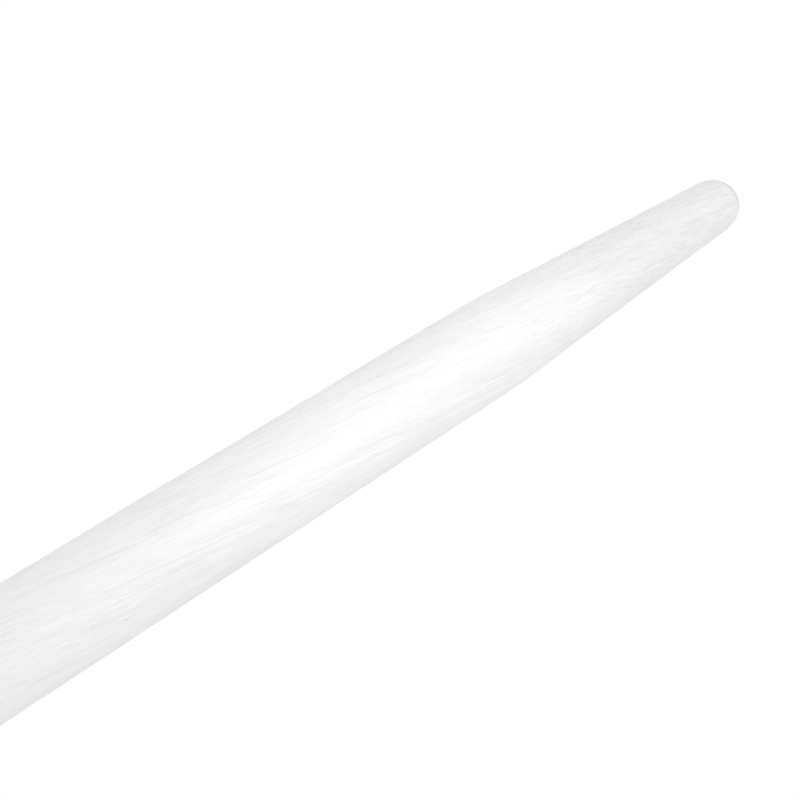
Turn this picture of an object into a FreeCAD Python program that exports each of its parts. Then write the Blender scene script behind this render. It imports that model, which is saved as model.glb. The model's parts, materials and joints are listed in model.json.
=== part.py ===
import FreeCAD, Part
import math
import os

# A blending stump: one sheet of soft long-fibred paper, pasted and wound on a twisted-paper pin,
# closed with glue along its free edge, then ground round, with a long slow taper and a round nose
# at both ends. Millimetres: X runs along the stick, Z is up, the origin is at mid-length.

# Driving dimensions
overall_length = 122.0  # nose to nose
body_diameter = 5.0  # the ground roll between the tapers
taper_length = 18.95  # from the nose back to where the taper's line meets the body
nose_radius = 1.57  # the round end of each taper
shoulder_radius = 45.0  # lengthwise rounding where the taper leaves the body
sheet_thickness = 0.22  # the wound paper
paste_thickness = 0.04  # dried paste between one turn and the next
least_core_diameter = 0.9  # the twisted pin is never thinner than this
grinding_depth = 0.03  # taken off the wound roll to make it round
climb_angle = math.radians(60)  # each turn climbs onto the next within this part of a circle
climb_flatness = 3.0  # the climb starts on an arc with a radius larger by this much
free_edge_angle = math.radians(40)  # the sheet stops this far before the end of the climb
glue_end_angle = math.radians(10)  # the glue is laid up to here, and the grinding trims it
lap_direction = math.radians(-15)  # where the climb ends, from +Y towards +Z

# The roll: every turn is round about the axis, then climbs by one sheet and one film of paste
pitch = sheet_thickness + paste_thickness
wound_radius = body_diameter / 2 + grinding_depth
room_for_turns = wound_radius - sheet_thickness - least_core_diameter / 2
turns = 1 + int(room_for_turns / pitch)
core_radius = wound_radius - sheet_thickness - (turns - 1) * pitch

# The climb is two arcs, first flatter and then tighter than the turn, tangent to it and each other.
# Each kind of arc is its centre, across and along the lap's direction, and its extra radius.
flat_centre_across = -climb_flatness * math.cos(climb_angle)
flat_centre_along = climb_flatness * math.sin(climb_angle)
flat_reach = climb_flatness * (1 - math.cos(climb_angle)) - pitch
tight_centre = pitch * (climb_flatness - pitch / 2) / flat_reach
tight_from = math.atan2(flat_centre_along, tight_centre - flat_centre_across)
ROUND = (0, 0, 0)
FLAT = (flat_centre_across, flat_centre_along, climb_flatness)
TIGHT = (tight_centre, 0, pitch - tight_centre)


def on_turn(turn, height, kind, angle):
    """A point of the roll's section: on one turn, at a height above the sheet's inner face."""
    centre_across, centre_along, extra_radius = kind
    radius = core_radius + turn * pitch + height + extra_radius
    across = centre_across + radius * math.cos(angle)
    along = centre_along + radius * math.sin(angle)
    y = across * math.cos(lap_direction) - along * math.sin(lap_direction)
    z = across * math.sin(lap_direction) + along * math.cos(lap_direction)
    return FreeCAD.Vector(-overall_length / 2, y, z)


def arc_on_turn(turn, height, kind, start, end):
    points = [on_turn(turn, height, kind, a) for a in (start, (start + end) / 2, end)]
    return Part.Arc(*points).toShape()


def line(start, end):
    return Part.LineSegment(start, end).toShape()


def turn_edges(turn, height, stop):
    """One turn about the axis and its climb, as far as the stop angle."""
    return [
        arc_on_turn(turn, height, ROUND, 0, 2 * math.pi - climb_angle),
        arc_on_turn(turn, height, FLAT, -climb_angle, -tight_from),
        arc_on_turn(turn, height, TIGHT, -tight_from, stop),
    ]


def lengthwise(edges):
    """A solid with the outline given by these edges, as long as the stick."""
    outline = Part.Wire(Part.__sortEdges__(edges))
    return Part.Face(outline).extrude(FreeCAD.Vector(overall_length, 0, 0))


def wound_layer(low, high, count):
    """A layer wound from the core out, between two heights above the sheet's inner face."""
    edges = []
    for turn in range(count):
        stop = -free_edge_angle if turn == count - 1 else 0
        edges += turn_edges(turn, low, stop) + turn_edges(turn, high, stop)
    start = [on_turn(0, height, ROUND, 0) for height in (low, high)]
    end = [on_turn(count - 1, height, TIGHT, -free_edge_angle) for height in (low, high)]
    return lengthwise(edges + [line(*start), line(*end)])


def core_pin():
    """The twisted pin, pressed by the first turn to the shape of that turn's inner face."""
    step = line(on_turn(0, 0, TIGHT, 0), on_turn(0, 0, ROUND, 0))
    return lengthwise(turn_edges(0, 0, 0) + [step])


def wound_sheet():
    return wound_layer(0, sheet_thickness, turns)


def paste_film():
    """Paste on the back of every turn, as far as another turn covers it."""
    return wound_layer(sheet_thickness, pitch, turns - 1)


def lap_glue():
    """Glue in the corner between the free edge and the turn that it lies on."""
    under = turns - 2
    heights = (sheet_thickness, sheet_thickness + pitch)
    faces = [arc_on_turn(under, h, TIGHT, -free_edge_angle, -glue_end_angle) for h in heights]
    ends = [
        line(*[on_turn(under, h, TIGHT, angle) for h in heights])
        for angle in (-free_edge_angle, -glue_end_angle)
    ]
    return lengthwise(faces + ends)


def ground_outline():
    """What the grinding leaves: a round body, soft shoulders, tapers and round noses."""
    body_radius = body_diameter / 2
    nose_centre = overall_length / 2 - nose_radius
    shoulder_to_centre = taper_length - nose_radius
    reach = math.hypot(shoulder_to_centre, body_radius)
    taper_angle = math.atan2(body_radius, shoulder_to_centre) - math.asin(nose_radius / reach)

    def on_nose(angle):
        x = nose_centre + nose_radius * math.cos(angle)
        return FreeCAD.Vector(x, 0, nose_radius * math.sin(angle))

    def on_shoulder(angle):
        x = body_end + shoulder_radius * math.sin(angle)
        return FreeCAD.Vector(x, 0, body_radius - shoulder_radius * (1 - math.cos(angle)))

    # the rounding is tangent to the taper's line and to the body, each side of where they meet
    taper_start = math.pi / 2 - taper_angle
    corner = overall_length / 2 - taper_length
    body_end = corner - shoulder_radius * math.tan(taper_angle / 2)
    nose = [on_nose(0), on_nose(taper_start / 2), on_nose(taper_start)]
    shoulder = [on_shoulder(taper_angle), on_shoulder(taper_angle / 2), on_shoulder(0)]
    edges = []
    for side in (1, -1):
        there = [FreeCAD.Vector(side * p.x, p.y, p.z) for p in nose + shoulder]
        edges.append(Part.Arc(*there[:3]).toShape())
        edges.append(line(there[2], there[3]))
        edges.append(Part.Arc(*there[3:]).toShape())
    edges.append(line(on_shoulder(0), FreeCAD.Vector(-body_end, 0, body_radius)))
    edges.append(line(nose[0], FreeCAD.Vector(-nose[0].x, 0, 0)))
    half_section = Part.Face(Part.Wire(Part.__sortEdges__(edges)))
    return half_section.revolve(FreeCAD.Vector(0, 0, 0), FreeCAD.Vector(1, 0, 0), 360)


os.makedirs("parts", exist_ok=True)
outline = ground_outline()

core_pin().common(outline).exportStep("parts/core_pin.step")
wound_sheet().common(outline).exportStep("parts/wound_sheet.step")
paste_film().common(outline).exportStep("parts/paste_film.step")
lap_glue().common(outline).exportStep("parts/lap_glue.step")
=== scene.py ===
import json
import math

import bpy
import numpy as np
from mathutils import Matrix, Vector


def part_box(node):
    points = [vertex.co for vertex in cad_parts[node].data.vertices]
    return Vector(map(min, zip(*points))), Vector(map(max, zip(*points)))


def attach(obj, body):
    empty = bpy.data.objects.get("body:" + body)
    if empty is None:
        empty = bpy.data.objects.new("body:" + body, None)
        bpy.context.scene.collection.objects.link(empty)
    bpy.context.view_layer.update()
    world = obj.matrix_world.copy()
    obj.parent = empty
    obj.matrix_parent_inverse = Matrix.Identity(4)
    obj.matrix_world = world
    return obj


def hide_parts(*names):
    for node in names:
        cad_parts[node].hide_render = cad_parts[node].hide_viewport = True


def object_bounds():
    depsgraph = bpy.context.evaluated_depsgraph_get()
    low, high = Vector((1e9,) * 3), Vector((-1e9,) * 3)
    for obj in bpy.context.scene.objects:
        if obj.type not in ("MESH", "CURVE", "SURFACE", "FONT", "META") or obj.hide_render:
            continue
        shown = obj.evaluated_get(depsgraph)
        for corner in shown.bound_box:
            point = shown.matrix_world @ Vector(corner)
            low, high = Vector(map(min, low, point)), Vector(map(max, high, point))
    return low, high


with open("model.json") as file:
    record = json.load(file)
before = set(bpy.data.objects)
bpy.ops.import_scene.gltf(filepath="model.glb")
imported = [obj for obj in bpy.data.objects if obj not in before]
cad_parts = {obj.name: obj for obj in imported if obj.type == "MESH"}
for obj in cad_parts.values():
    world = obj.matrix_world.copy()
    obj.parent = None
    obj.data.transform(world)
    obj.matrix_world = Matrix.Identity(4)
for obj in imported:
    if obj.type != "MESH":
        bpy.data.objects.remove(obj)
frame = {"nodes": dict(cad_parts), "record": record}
cad_low, cad_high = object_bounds()


# ---- The twisted pin --------------------------------------------------------------------------
# A strip of the same paper, damped, twisted hard into a pin about 1 mm thick, and dried. The sheet is
# started on it. Its ends are ground with the sheet, and show as a dot in the middle of each nose.

MM = 0.001
nose_ball = 1.57 * MM
stick_tip = cad_high.x
ball_centre = stick_tip - nose_ball
pin_low, pin_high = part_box("core_pin")
pin_radius = min(-pin_low.y, -pin_low.z, pin_high.y, pin_high.z)
pin_plies = 3
pin_lay = 2.6 * MM
pin_sides = 36
pin_ring_gap = 0.21 * MM
pin_end_sunk = 0.012 * MM
pin_end_shares = (0.9, 0.78, 0.64, 0.5, 0.36, 0.22, 0.1)
pin_middle_share = 0.962
pin_ply_share = 0.03
pin_whorl_height = 0.004 * MM
pin_whorl_arms = 2
pin_whorl_turn = 11
pin_grain = (2500, 14000)
pin_relief = 0.008 * MM
# painted shade: the pin's paper is painted grey to match the painted shade on the cap of each nose
pin_shaded_dark = (0.44, 0.435, 0.425, 1)
pin_shaded_light = (0.6, 0.595, 0.585, 1)
crease_angle = math.radians(70)


def mesh_piece(name, points, faces):
    """A smooth-shaded mesh object from its points and faces."""
    mesh = bpy.data.meshes.new(name)
    mesh.from_pydata([tuple(p) for p in points], [], faces)
    mesh.validate()
    mesh.polygons.foreach_set("use_smooth", [True] * len(mesh.polygons))
    mesh.set_sharp_from_angle(angle=crease_angle)
    piece = bpy.data.objects.new(name, mesh)
    bpy.context.scene.collection.objects.link(piece)
    return piece


def ring_wall(rows, around, first=0, inward=False):
    """The quads between neighbouring rings of points, facing out of the stick or into its bore."""
    quads = []
    for row in range(rows - 1):
        here = first + row * around
        for side in range(around):
            after = (side + 1) % around
            quad = (here + side, here + after, here + around + after, here + around + side)
            quads.append(quad[::-1] if inward else quad)
    return quads


def plugged_rod(name, rings):
    """A closed rod from its rings, with a fan of faces at each end."""
    rows, around = rings.shape[:2]
    low, high = rows * around, rows * around + 1
    last = (rows - 1) * around
    faces = ring_wall(rows, around)
    for side in range(around):
        after = (side + 1) % around
        faces.append((low, after, side))
        faces.append((high, last + side, last + after))
    centres = [rings[0].mean(axis=0), rings[-1].mean(axis=0)]
    return mesh_piece(name, np.concatenate([rings.reshape(-1, 3), centres]), faces)


def pin_ring(x, share):
    """Radius and angle round one ring of the pin: plies laid round each other, drawn in by share."""
    angle = np.arange(pin_sides) * math.tau / pin_sides
    ply = pin_plies * (angle - math.tau * x / pin_lay)
    return pin_radius * (pin_middle_share + pin_ply_share * np.cos(ply)) * share, angle


pin_rings = []
pin_reach = ball_centre + math.sqrt(nose_ball ** 2 - pin_radius ** 2) - pin_end_sunk
for x in np.linspace(-pin_reach, pin_reach, int(2 * pin_reach / pin_ring_gap)):
    radius, angle = pin_ring(x, 1.0)
    pin_rings.append(np.stack([np.full(pin_sides, x), radius * np.cos(angle), radius * np.sin(angle)], 1))
for share in pin_end_shares:
    for end in (1, -1):
        radius, angle = pin_ring(end * pin_reach, share)
        crown = ball_centre + np.sqrt(nose_ball ** 2 - radius ** 2) - pin_end_sunk
        whorl = pin_whorl_height * np.cos(pin_whorl_arms * angle + pin_whorl_turn * share)
        ring = np.stack([end * (crown + whorl), radius * np.cos(angle), radius * np.sin(angle)], 1)
        pin_rings.insert(0 if end < 0 else len(pin_rings), ring)
twisted_pin = plugged_rod("twisted_pin", np.array(pin_rings))


class Wire:
    """The output of a shader node, which can be used like a number."""

    def __init__(self, finish, socket):
        self.finish = finish
        self.socket = socket

    def maths(self, operation, *others):
        sockets = {0: self, **dict(enumerate(others, 1))}
        return self.finish.add("ShaderNodeMath", {"operation": operation}, sockets)

    def __add__(self, other):
        return self.maths("ADD", other)

    def __mul__(self, other):
        return self.maths("MULTIPLY", other)

    def __sub__(self, other):
        return self.maths("SUBTRACT", other)

    def __rsub__(self, other):
        return self.finish.add("ShaderNodeMath", {"operation": "SUBTRACT"}, {0: other, 1: self})

    __radd__ = __add__
    __rmul__ = __mul__


class Finish:
    """A material whose nodes are added one by one."""

    def __init__(self, name):
        self.material = bpy.data.materials.new(name)
        self.material.use_nodes = True
        self.tree = self.material.node_tree
        self.tree.nodes.clear()

    def add(self, kind, settings=None, sockets=None, out=0):
        """Adds a node with its settings, then its socket values or links, and gives one of its outputs."""
        node = self.tree.nodes.new(kind)
        for name, value in (settings or {}).items():
            setattr(node, name, value)
        for name, value in (sockets or {}).items():
            if isinstance(value, Wire):
                self.tree.links.new(value.socket, node.inputs[name])
            else:
                node.inputs[name].default_value = value
        return Wire(self, node.outputs[out]) if node.outputs else node

    def along_fibres(self, turn, taper_gain, taper_start, along, across):
        """Places on the stick with the fibres' lean taken out, scaled lengthwise and crosswise."""
        spot = self.add("ShaderNodeTexCoord", out=3)
        x = self.add("ShaderNodeSeparateXYZ", sockets={0: spot})
        over = (x.maths("ABSOLUTE") - taper_start).maths("MAXIMUM", 0.0)
        lean = (x + x.maths("SIGN") * over * over * taper_gain) * -turn
        straight = self.add(
            "ShaderNodeVectorRotate", {"rotation_type": "X_AXIS"}, {"Vector": spot, "Angle": lean}
        )
        return self.add(
            "ShaderNodeVectorMath", {"operation": "MULTIPLY"}, {0: straight, 1: (along, across, across)}
        )

    def noise(self, place, detail=2.0, roughness=0.5, scale=1.0):
        return self.add(
            "ShaderNodeTexNoise",
            sockets={"Vector": place, "Scale": scale, "Detail": detail, "Roughness": roughness},
        )

    def share(self, value, start, end):
        """A number that goes from 0 where the value is at its start to 1 where it is at its end."""
        return self.add(
            "ShaderNodeMapRange", sockets={"Value": value, "From Min": start, "From Max": end}
        )

    def blend(self, share, first, second, way="MIX"):
        """A colour between two colours, or the first with the second laid over it in some other way."""
        return self.add(
            "ShaderNodeMix",
            {"data_type": "RGBA", "blend_type": way},
            {0: share, 6: first, 7: second},
            out=2,
        )

    def relief(self, depth, height):
        """The slope of a face with fine relief of this depth."""
        return self.add(
            "ShaderNodeBump", sockets={"Strength": 1.0, "Distance": depth, "Height": height}
        )

    def surface(self, **sockets):
        """The Principled surface that ends the material."""
        shader = self.add(
            "ShaderNodeBsdfPrincipled", sockets={n.replace("_", " "): v for n, v in sockets.items()}
        )
        self.add("ShaderNodeOutputMaterial", sockets={"Surface": shader})
        return self.material


def wear(piece, material, slot=None):
    """Gives a piece its material, and puts it on the root body when a slot is named."""
    piece.data.materials.clear()
    piece.data.materials.append(material)
    if slot:
        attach(piece, "root")


pin_finish = Finish("twisted paper")
pin_place = pin_finish.along_fibres(math.tau / pin_lay, 0.0, stick_tip, *pin_grain)
pin_strands = pin_finish.noise(pin_place, detail=3)
pin_paper = pin_finish.surface(
    Base_Color=pin_finish.blend(pin_strands, pin_shaded_dark, pin_shaded_light),
    Roughness=pin_strands * 0.2 + 0.68,
    Normal=pin_finish.relief(pin_relief, pin_strands),
)
wear(twisted_pin, pin_paper, "twisted_paper")
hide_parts("core_pin")


# ---- The paste --------------------------------------------------------------------------------
# Starch paste, brushed over the sheet before it is rolled. It dries hard between the turns, and the
# sheet's outer turn and the nap of its ground ends cover it. It keeps the shape it has in the design.

paste_cloud_scale = 1800
paste_relief = 0.01 * MM
paste_dark = (0.8, 0.79, 0.74, 1)
paste_light = (0.92, 0.915, 0.88, 1)

paste_finish = Finish("dried paste")
paste_spot = paste_finish.add("ShaderNodeTexCoord", out=3)
paste_clouds = paste_finish.noise(paste_spot, detail=4, scale=paste_cloud_scale)
paste_material = paste_finish.surface(
    Base_Color=paste_finish.blend(paste_clouds, paste_dark, paste_light),
    Roughness=paste_clouds * 0.3 + 0.35,
    Normal=paste_finish.relief(paste_relief, paste_clouds),
)
wear(frame["nodes"]["paste_film"], paste_material)


# ---- The sheet --------------------------------------------------------------------------------
# One sheet of soft, long-fibred white paper, wound tight on the pin and pasted. Both ends are ground
# to a long taper and a round nose, then rubbed lengthwise, which lays the fibres along the stick.

sheet_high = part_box("wound_sheet")[1]
stick_radius = max(sheet_high.y, sheet_high.z)
barrel_end = frame["record"]["mounts"][0]["dims"]["length_mm"] * MM / 2
shoulder_bend = 45 * MM
fibre_lean = math.radians(8)
nap_height = 0.010 * MM
nap_floor = -0.009 * MM
bore_radius = pin_radius + 0.01 * MM
lip_radius = bore_radius + 0.03 * MM
columns = 480
bore_columns = 120
barrel_rows = 198
taper_row_gap = 0.17 * MM
nose_row_gap = 0.045 * MM
bore_row_gap = 2.1 * MM

# the taper's straight line touches both the shoulder's bend and the nose: its angle is closed in on
angle_tries = 20
taper_angle = 0.05
for _ in range(angle_tries):
    sine, cosine = math.sin(taper_angle), math.cos(taper_angle)
    run = ball_centre + nose_ball * sine - barrel_end - shoulder_bend * sine
    drop = stick_radius - shoulder_bend * (1 - cosine) - nose_ball * cosine
    taper_angle = math.atan(drop / run)
shoulder_run = shoulder_bend * taper_angle
cone_start = barrel_end + shoulder_run
cone_run = run / math.cos(taper_angle)
nose_start = cone_start + cone_run
nose_run = nose_ball * (math.acos(lip_radius / nose_ball) - taper_angle)


def outline(path):
    """Place, radius and tilt of the ground outline, from a path measured along it from mid-length."""
    far = np.abs(path)
    tilt = np.clip((far - barrel_end) / shoulder_bend, 0, taper_angle)
    tilt = tilt + np.maximum(far - nose_start, 0) / nose_ball
    bend = np.minimum(tilt, taper_angle)
    on_cone = np.clip(far - cone_start, 0, cone_run)
    x = np.minimum(far, barrel_end) + shoulder_bend * np.sin(bend) + on_cone * math.cos(taper_angle)
    radius = stick_radius - shoulder_bend * (1 - np.cos(bend)) - on_cone * math.sin(taper_angle)
    on_nose = far > nose_start
    x = np.where(on_nose, ball_centre + nose_ball * np.sin(tilt), x)
    radius = np.where(on_nose, nose_ball * np.cos(tilt), radius)
    return np.sign(path) * x, radius, np.sign(path) * tilt


def lean_at(x):
    """How far round the stick the fibres have turned at x."""
    over = np.maximum(np.abs(x) - barrel_end, 0)
    return math.tan(fibre_lean) / stick_radius * (
        x + np.sign(x) * over ** 2 * math.tan(taper_angle) / (2 * stick_radius)
    )


half_taper = np.arange(barrel_end, nose_start, taper_row_gap)[1:]
half_nose = np.linspace(nose_start, nose_start + nose_run, int(nose_run / nose_row_gap))
half_end = np.concatenate([half_taper, half_nose])
paths = np.concatenate([-half_end[::-1], np.linspace(-barrel_end, barrel_end, barrel_rows), half_end])
row_x, row_radius, row_tilt = outline(paths)
column_turn = math.tau / columns
column_angle = np.arange(columns) * column_turn


def press_fibres(relief, draw, count, length, width, height, wander):
    """Presses count fibres into the relief, each a thin low ridge or gap lying along the stick."""
    middle = draw.uniform(paths[0], paths[-1], count)
    angle = draw.uniform(0, math.tau, count)
    half = draw.uniform(*length, count) / 2
    wide = draw.uniform(*width, count)
    tall = draw.uniform(*height, count)
    drift = draw.normal(0, wander, count)
    bow = draw.normal(0, wander * 0.5, count)
    keep = draw.uniform(0, stick_radius, count) < outline(middle)[1]
    for row, path in enumerate(paths):
        near = keep & (np.abs(middle - path) < half)
        share = (path - middle[near]) / half[near]
        step = row_radius[row] * column_turn
        sideways = (drift[near] * share + bow[near] * share ** 2) * half[near] / step
        centre = angle[near] / column_turn + sideways
        sigma = wide[near] / step
        reach = int(3 * width[1] / step) + 1
        offsets = np.arange(-reach, reach + 1)
        cells = np.round(centre)[:, None] + offsets[None, :]
        ridge = np.exp(-0.5 * ((cells - centre[:, None]) / sigma[:, None]) ** 2)
        ridge *= (tall[near] * np.sqrt(1 - share ** 2))[:, None]
        np.add.at(relief[row], cells.astype(int) % columns, ridge)


sheet_draw = np.random.default_rng(41)
relief = np.zeros((len(paths), columns))

# short fibres
press_fibres(
    relief, sheet_draw, count=16000, length=(0.6 * MM, 2.2 * MM), width=(0.016 * MM, 0.034 * MM),
    height=(0.0015 * MM, 0.006 * MM), wander=0.05,
)
# the gaps between them
press_fibres(
    relief, sheet_draw, count=9000, length=(0.5 * MM, 1.6 * MM), width=(0.014 * MM, 0.026 * MM),
    height=(-0.006 * MM, -0.002 * MM), wander=0.05,
)
# bundles of long fibres
press_fibres(
    relief, sheet_draw, count=900, length=(2.0 * MM, 6.0 * MM), width=(0.03 * MM, 0.055 * MM),
    height=(0.004 * MM, 0.009 * MM), wander=0.03,
)
# wide gaps, where the grinding tore fibres out
press_fibres(
    relief, sheet_draw, count=500, length=(1.0 * MM, 3.0 * MM), width=(0.02 * MM, 0.04 * MM),
    height=(-0.011 * MM, -0.005 * MM), wander=0.03,
)

# the roll is never quite round: slow swells run along and round it
swell_count = 14
swell_height = 0.0008 * MM
for _ in range(swell_count):
    around_waves = sheet_draw.integers(2, 14)
    length_wave = sheet_draw.uniform(5, 22) * MM
    phase = sheet_draw.uniform(0, math.tau)
    lengthwise = math.tau * paths[:, None] / length_wave
    relief += swell_height * np.cos(around_waves * column_angle[None, :] + lengthwise + phase)

# the edges of the turns, ground nearly away, still wind round the middle of each nose
turn_pitch = 0.26 * MM
turn_edge_depth = 0.006 * MM
turn_edge_width = 0.022 * MM
turn_edges_within = 1.2 * MM
turn_edges_fade = 0.5 * MM
wound = (row_radius[:, None] - bore_radius) / turn_pitch + column_angle[None, :] / math.tau
off_edge = (wound - np.round(wound)) * turn_pitch
near_tip = np.clip((turn_edges_within - row_radius) / turn_edges_fade, 0, 1)[:, None]
relief -= turn_edge_depth * near_tip * np.exp(-0.5 * (off_edge / turn_edge_width) ** 2)
relief = np.maximum(relief, nap_floor)

# the glued lap lies in a shallow bed along the back of the stick
glue_low, glue_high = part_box("lap_glue")
lap_from = math.atan2(glue_low.z, glue_low.y) + math.tau
lap_to = math.atan2(glue_high.z, glue_high.y) + math.tau
lap_length = glue_high.x
bed_depth = 0.03 * MM
bed_side = 0.08 * MM
bed_end = 0.6 * MM
true_angle = (column_angle[None, :] + lean_at(row_x)[:, None]) % math.tau
into_bed = np.minimum(true_angle - lap_from, lap_to - true_angle) * stick_radius
bed = np.clip(into_bed / bed_side + 0.5, 0, 1)
bed = bed * np.clip((lap_length - np.abs(row_x)) / bed_end, 0, 1)[:, None]
relief = relief * (1 - bed) - bed * bed_depth


def on_sheet(x, radius, tilt, angle, lift):
    """Points on the stick's face, lifted square to it."""
    out = radius + lift * np.cos(tilt)
    point = np.broadcast_arrays(x + lift * np.sin(tilt), out * np.cos(angle), out * np.sin(angle))
    return np.stack(point, -1)


def sheet_piece(name, first, last):
    """A closed length of the rolled sheet: its napped face, its bore, and a lip at each end."""
    rows = slice(first, last)
    angle = column_angle[None, :] + lean_at(row_x[rows])[:, None]
    face = on_sheet(
        row_x[rows, None], row_radius[rows, None], row_tilt[rows, None], angle, nap_height + relief[rows]
    )
    steps = max(2, int((row_x[last - 1] - row_x[first]) / bore_row_gap))
    bore_x = np.linspace(row_x[first], row_x[last - 1], steps)
    bore_angle = np.arange(bore_columns)[None, :] * math.tau / bore_columns + lean_at(bore_x)[:, None]
    bore = on_sheet(bore_x[:, None], bore_radius, 0.0, bore_angle, 0.0)
    rows_count = last - first
    bore_first = rows_count * columns
    share = columns // bore_columns
    faces = ring_wall(rows_count, columns) + ring_wall(steps, bore_columns, bore_first, inward=True)
    face_end = (rows_count - 1) * columns
    bore_end = bore_first + (steps - 1) * bore_columns
    for strip in range(bore_columns):
        after = (strip + 1) % bore_columns
        edge = [(strip * share + k) % columns for k in range(share + 1)]
        faces.append((*edge[::-1], bore_first + strip, bore_first + after))
        faces.append((*[face_end + k for k in edge], bore_end + after, bore_end + strip))
    return mesh_piece(name, np.concatenate([face.reshape(-1, 3), bore.reshape(-1, 3)]), faces)


end_rows = len(half_end)
sheet_pieces = [
    sheet_piece("sheet_ground_end_left", 0, end_rows + 1),
    sheet_piece("sheet_barrel", end_rows, end_rows + barrel_rows),
    sheet_piece("sheet_ground_end_right", end_rows + barrel_rows - 1, len(paths)),
]

# each grain is how finely a pattern repeats along and across the fibres, in repeats per metre
paper_turn = math.tan(fibre_lean) / stick_radius
paper_gain = math.tan(taper_angle) / (2 * stick_radius)
fibre_grain = (900, 17000)
bundle_grain = (260, 4200)
cloud_grain = (120, 700)
hair_grain = (2600, 42000)
gap_grain = (240, 20000)
fleck_grain = (420, 1500)
middle_tone = 0.46
tone_range = (0.28, 0.64)
ground_from = (42 * MM, 52 * MM)
ground_contrast = 0.9
# painted shade: the grey laid over the tapers
taper_painted_shade_grey = (0.91, 0.91, 0.91, 1)
gap_range = (0.61, 0.7)
gap_strength = 0.3
gap_grey = (0.5, 0.5, 0.5, 1)
fleck_edge = (0.08, 0.04)
fleck_rarity = 0.8
fleck_grey = (0.6, 0.59, 0.57, 1)
# painted shade: the grey painted on the cap of each nose, its ring and its strength
painted_nose_shade_ring = (1.5 * MM, 1.3 * MM)
painted_nose_shade_strength = 0.9
painted_nose_shade_grey = (0.48, 0.48, 0.48, 1)
paper_relief = 0.012 * MM
paper_dark = (0.66, 0.66, 0.66, 1)
paper_light = (0.77, 0.77, 0.77, 1)


def paper_finish(name, darkest, lightest):
    """White paper: pale fibres, slightly darker gaps along the stick, clouds, a few flecks, and painted
    shade.
    """
    finish = Finish(name)

    def grain(along, across):
        return finish.along_fibres(paper_turn, paper_gain, barrel_end, along, across)

    fine = finish.noise(grain(*fibre_grain), detail=3, roughness=0.6)
    broad = finish.noise(grain(*bundle_grain), detail=3)
    cloud = finish.noise(grain(*cloud_grain), detail=2)
    hair = finish.noise(grain(*hair_grain), detail=2)
    spot = finish.add("ShaderNodeTexCoord", out=3)
    along = finish.add("ShaderNodeSeparateXYZ", sockets={0: spot}).maths("ABSOLUTE")
    ground = finish.share(along, *ground_from)

    # grinding opens the paper, so the tapers are more streaked; they are also painted a little greyer as
    # painted shade
    tone = fine * 0.5 + broad * 0.3 + cloud * 0.2
    tone = (tone - middle_tone) * (ground * ground_contrast + 1) + middle_tone
    paper = finish.blend(finish.share(tone, *tone_range), darkest, lightest)
    gap = finish.share(finish.noise(grain(*gap_grain), detail=1), *gap_range)
    paper = finish.blend(gap * gap_strength, paper, gap_grey)
    paper = finish.blend(ground, paper, taper_painted_shade_grey, way="MULTIPLY")

    fleck_cells = {"Vector": grain(*fleck_grain), "Scale": 1.0}
    fleck_near = finish.add("ShaderNodeTexVoronoi", sockets=fleck_cells)
    fleck_pick = finish.add("ShaderNodeTexVoronoi", sockets=fleck_cells, out=1)
    fleck_pick = finish.add("ShaderNodeSeparateColor", sockets={0: fleck_pick})
    fleck = finish.share(fleck_near, *fleck_edge) * fleck_pick.maths("GREATER_THAN", fleck_rarity)
    paper = finish.blend(fleck, paper, fleck_grey)

    # painted shade: the cap of each nose is painted grey where the nose turns away from the lamps
    off_axis = finish.add("ShaderNodeVectorMath", {"operation": "MULTIPLY"}, {0: spot, 1: (0, 1, 1)})
    off_axis = finish.add("ShaderNodeVectorMath", {"operation": "LENGTH"}, {0: off_axis}, out=1)
    painted_nose_shade = finish.share(off_axis, *painted_nose_shade_ring)
    return finish.surface(
        Base_Color=finish.blend(painted_nose_shade * painted_nose_shade_strength, paper, painted_nose_shade_grey),
        Roughness=0.55 - broad * 0.2 - ground * 0.05,
        Specular_IOR_Level=0.9,
        Sheen_Weight=0.05,
        Sheen_Roughness=0.5,
        Normal=finish.relief(paper_relief, fine * 0.55 + hair * 0.25 + broad * 0.6),
    )


white_paper = paper_finish("white paper", paper_dark, paper_light)
for piece in sheet_pieces:
    wear(piece, white_paper, "white_paper")
    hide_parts("wound_sheet")


# ---- The long fibres --------------------------------------------------------------------------
# The paper's longest fibres, pulled up by the grinding and rubbed down flat again. They lie half sunk
# in the face of the sheet, mostly along the stick, and show as fine raised lines.

strand_count = 1400
strand_sides = 5
strand_steps = 14
strand_spread = (3.0, 0.65)
strand_least_half = 0.3 * MM
strand_width = (0.01 * MM, 0.022 * MM)
strand_rise = (0.35, 0.6)
thick_strands = 0.06
thick_half = (1.8 * MM, 3.6 * MM)
thick_width = (0.02 * MM, 0.03 * MM)
thick_rise = (0.6, 0.9)
strand_drift = 0.05
strand_bow = 0.04
bend_width = 0.02 * MM
bend_waves = 3
strand_end_slope = 6
strand_end_least = 0.06
strand_showing = 0.25
# painted highlight: the fibres are painted a little lighter than the sheet, as if lit on their raised tops
strand_highlight_dark = (0.73, 0.73, 0.73, 1)
strand_highlight_light = (0.83, 0.83, 0.83, 1)

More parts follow.
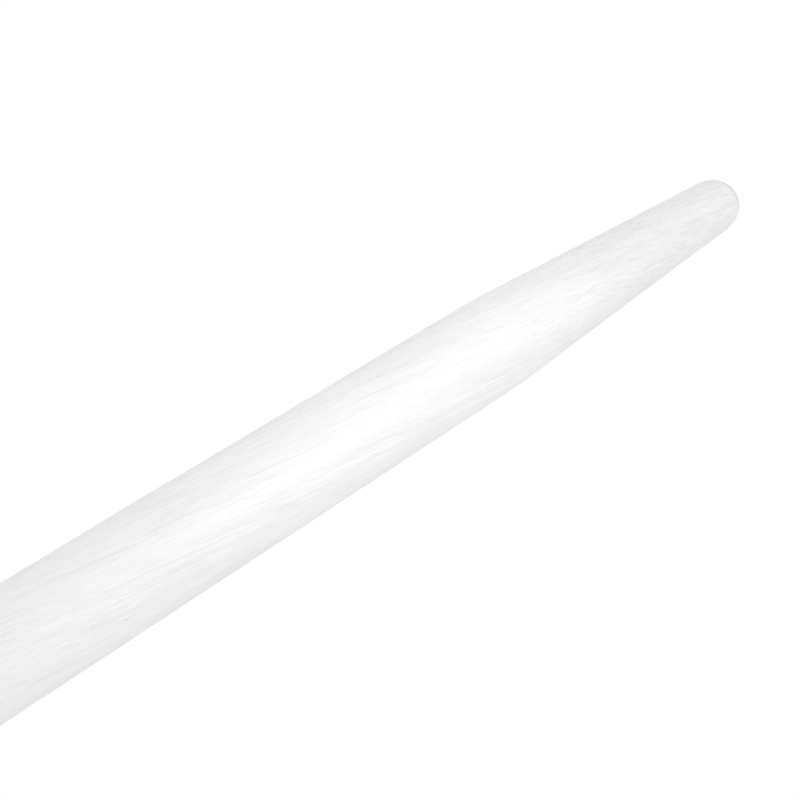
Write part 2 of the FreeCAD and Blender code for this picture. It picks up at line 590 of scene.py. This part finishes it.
strand_draw = np.random.default_rng(97)
strand_points = []
strand_faces = []
while len(strand_points) < strand_count:
    middle = strand_draw.uniform(paths[0], paths[-1])
    angle = strand_draw.uniform(0, math.tau)
    half = 0.5 * MM * strand_draw.gamma(*strand_spread) + strand_least_half
    wide = strand_draw.uniform(*strand_width)
    tall = wide * strand_draw.uniform(*strand_rise)
    if strand_draw.uniform() < thick_strands:
        half = strand_draw.uniform(*thick_half)
        wide = strand_draw.uniform(*thick_width)
        tall = wide * strand_draw.uniform(*thick_rise)
    drift = strand_draw.normal(0, strand_drift)
    bow = strand_draw.normal(0, strand_bow)
    wave = strand_draw.uniform(0, math.tau)
    crowded = strand_draw.uniform(0, stick_radius) > outline(np.array(middle))[1]
    if crowded or abs(middle) + half > paths[-1]:
        continue
    share = np.linspace(-1, 1, strand_steps)
    path = middle + share * half
    x, radius, tilt = outline(path)
    bends = bend_width * np.sin(bend_waves * share + wave)
    turned = angle + ((drift * share + bow * share ** 2) * half + bends) / radius
    row = np.clip(np.searchsorted(paths, path), 0, len(paths) - 1)
    column = np.round(turned / column_turn).astype(int) % columns
    bedded = nap_height + relief[row, column].mean() * 0.5 + relief[row, column] * 0.5
    slim = np.clip(strand_end_slope * (1 - np.abs(share)), strand_end_least, 1) ** 0.5
    rings = []
    for side in range(strand_sides):
        round_it = math.tau * side / strand_sides
        sideways = -wide * slim * math.cos(round_it) / radius
        lift = bedded + tall * slim * (strand_showing + math.sin(round_it))
        rings.append(on_sheet(x, radius, tilt, turned + lean_at(x) + sideways, lift))
    rings = np.stack(rings, 1)
    start = len(strand_points) * (strand_steps * strand_sides)
    last_ring = start + (strand_steps - 1) * strand_sides
    strand_faces.extend(ring_wall(strand_steps, strand_sides, start))
    strand_faces.append(tuple(start + k for k in reversed(range(strand_sides))))
    strand_faces.append(tuple(last_ring + k for k in range(strand_sides)))
    strand_points.append(rings.reshape(-1, 3))
long_fibres = mesh_piece("long_fibres", np.concatenate(strand_points), strand_faces)
fibre_paper = paper_finish("long paper fibres", strand_highlight_dark, strand_highlight_light)
wear(long_fibres, fibre_paper, "white_paper")


# ---- The glue at the lap ----------------------------------------------------------------------
# White glue run along the sheet's free edge when the roll was closed, and ground flush with the paper.
# It is a little smoother than the paper, and its edges wander where it soaked in.

glue_rings_count = 420
glue_sides = 18
glue_knots = 60
glue_wander = 0.06 * MM
glue_swelling = (-0.002 * MM, 0.003 * MM)
glue_margin = 0.03 * MM
glue_end_run = 1.5 * MM
glue_end_least = 0.02
glue_below_nap = 0.006 * MM
glue_side_fall = 0.02 * MM
glue_side_curve = 6
glue_root = 0.07 * MM
glue_root_top = 0.02 * MM
glue_grain = (500, 3000, 3000)
glue_relief = 0.01 * MM
glue_dark = (0.8, 0.795, 0.77, 1)
glue_light = (0.92, 0.918, 0.9, 1)

glue_draw = np.random.default_rng(12)
glue_x = np.linspace(-lap_length, lap_length, glue_rings_count)


def glue_change(low, high):
    """How something changes at random along the glue, between two limits."""
    knots = np.linspace(-lap_length, lap_length, glue_knots)
    return np.interp(glue_x, knots, glue_draw.uniform(low, high, glue_knots))


low_edges = lap_from + (glue_change(-glue_wander, glue_wander) + glue_margin) / stick_radius
high_edges = lap_to + (glue_change(-glue_wander, glue_wander) - glue_margin) / stick_radius
swells = glue_change(*glue_swelling)
glue_rings = []
for x, low_edge, high_edge, swell in zip(glue_x, low_edges, high_edges, swells):
    end_share = min(1.0, (lap_length - abs(x)) / glue_end_run + glue_end_least)
    middle = (low_edge + high_edge) / 2
    spread = (high_edge - low_edge) / 2 * math.sqrt(end_share)
    round_it = np.arange(glue_sides) * math.tau / glue_sides
    across = middle - spread * np.cos(round_it)
    fall = glue_side_fall * np.abs(np.cos(round_it)) ** glue_side_curve
    top = nap_height - glue_below_nap + swell - fall
    root = -glue_root * np.abs(np.sin(round_it)) - glue_root_top
    out = outline(np.array(x))[1] + np.where(np.sin(round_it) > 0, top, root)
    glue_rings.append(np.stack([np.full(glue_sides, x), out * np.cos(across), out * np.sin(across)], 1))
glue_line = plugged_rod("lap_glue_line", np.array(glue_rings))
glue_finish = Finish("dried white glue")
glue_spot = glue_finish.add("ShaderNodeTexCoord", out=3)
glue_place = glue_finish.add(
    "ShaderNodeVectorMath", {"operation": "MULTIPLY"}, {0: glue_spot, 1: glue_grain}
)
glue_clouds = glue_finish.noise(glue_place, detail=4)
glue_material = glue_finish.surface(
    Base_Color=glue_finish.blend(glue_clouds, glue_dark, glue_light),
    Roughness=glue_clouds * 0.25 + 0.28,
    Normal=glue_finish.relief(glue_relief, glue_clouds),
)
wear(glue_line, glue_material, "lap_glue")
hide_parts("lap_glue")


# ---- The table, the light and the camera ------------------------------------------------------
# The stick lies on an evenly lit white table, which leaves no shadow. Two soft lamps hang close over
# the stick and square to it, and pale walls all round give the rest of the light.

floor_size = 4.0
floor_corners = [(-1, -1), (1, -1), (1, 1), (-1, 1)]
floor_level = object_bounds()[0].z
floor_points = [(a * floor_size, b * floor_size, floor_level) for a, b in floor_corners]
floor = mesh_piece("lit_table", floor_points, [(0, 1, 2, 3)])
table_finish = Finish("lit white table")
table_glow = table_finish.add("ShaderNodeEmission", sockets={"Color": (1, 1, 1, 1), "Strength": 1.0})
table_finish.add("ShaderNodeOutputMaterial", sockets={"Surface": table_glow})
wear(floor, table_finish.material)

walls = bpy.data.worlds.new("pale walls")
walls.use_nodes = True
walls.node_tree.nodes["Background"].inputs["Color"].default_value = (1, 1, 1, 1)
bpy.context.scene.world = walls

camera_height_angle = math.radians(49.26)
camera_bearing = math.radians(39.59)
tip_from_camera = (19.47 * MM, 12.08 * MM, 65.21 * MM)
field_of_view = math.radians(40)
right = np.array([math.cos(camera_bearing), -math.sin(camera_bearing), 0])
level = np.array([math.sin(camera_bearing), math.cos(camera_bearing), 0])
upright = np.array([0, 0, 1.0])
forward = level * math.cos(camera_height_angle) - upright * math.sin(camera_height_angle)
above = level * math.sin(camera_height_angle) + upright * math.cos(camera_height_angle)
tip = np.array([stick_tip, 0, 0])
camera_place = tip
for way, reach in zip((right, above, forward), tip_from_camera):
    camera_place = camera_place - way * reach


def aim(thing, place, along, up_way):
    """Puts a lamp or camera at a place, looking along a direction."""
    side = np.cross(along, up_way)
    side = side / np.linalg.norm(side)
    top = np.cross(side, along)
    turned = np.eye(4)
    turned[:3, 0], turned[:3, 1], turned[:3, 2], turned[:3, 3] = side, top, -along, place
    thing.matrix_world = Matrix(turned.tolist())
    bpy.context.scene.collection.objects.link(thing)


view = bpy.data.cameras.new("camera")
view.sensor_width = 36
view.lens = view.sensor_width / 2 / math.tan(field_of_view / 2)
view.clip_start = 0.001
view.clip_end = 20
camera = bpy.data.objects.new("camera", view)
aim(camera, camera_place, forward, above)
bpy.context.scene.camera = camera

lamp_height_angle = math.radians(54)
lamp_way = np.array([0, -math.cos(lamp_height_angle), math.sin(lamp_height_angle)])


def hang_lamp(name, shape, length, width, over, distance, watts):
    """Hangs a soft lamp square to the stick, over a place along it and at a distance from it."""
    light = bpy.data.lights.new(name, "AREA")
    light.shape = shape
    light.size = length
    light.size_y = width
    light.energy = watts
    lamp = bpy.data.objects.new(name, light)
    lamp.visible_camera = False  # the lamps stay out of the picture
    aim(lamp, np.array([over, 0, 0]) + lamp_way * distance, -lamp_way, np.array([1.0, 0, 0]))


hang_lamp(
    "round soft lamp", "ELLIPSE", length=30 * MM, width=30 * MM,
    over=52 * MM, distance=55 * MM, watts=0.0084,
)
hang_lamp(
    "wide soft lamp", "RECTANGLE", length=200 * MM, width=20 * MM,
    over=29 * MM, distance=25 * MM, watts=0.0026,
)

bpy.context.scene.view_settings.view_transform = "Standard"
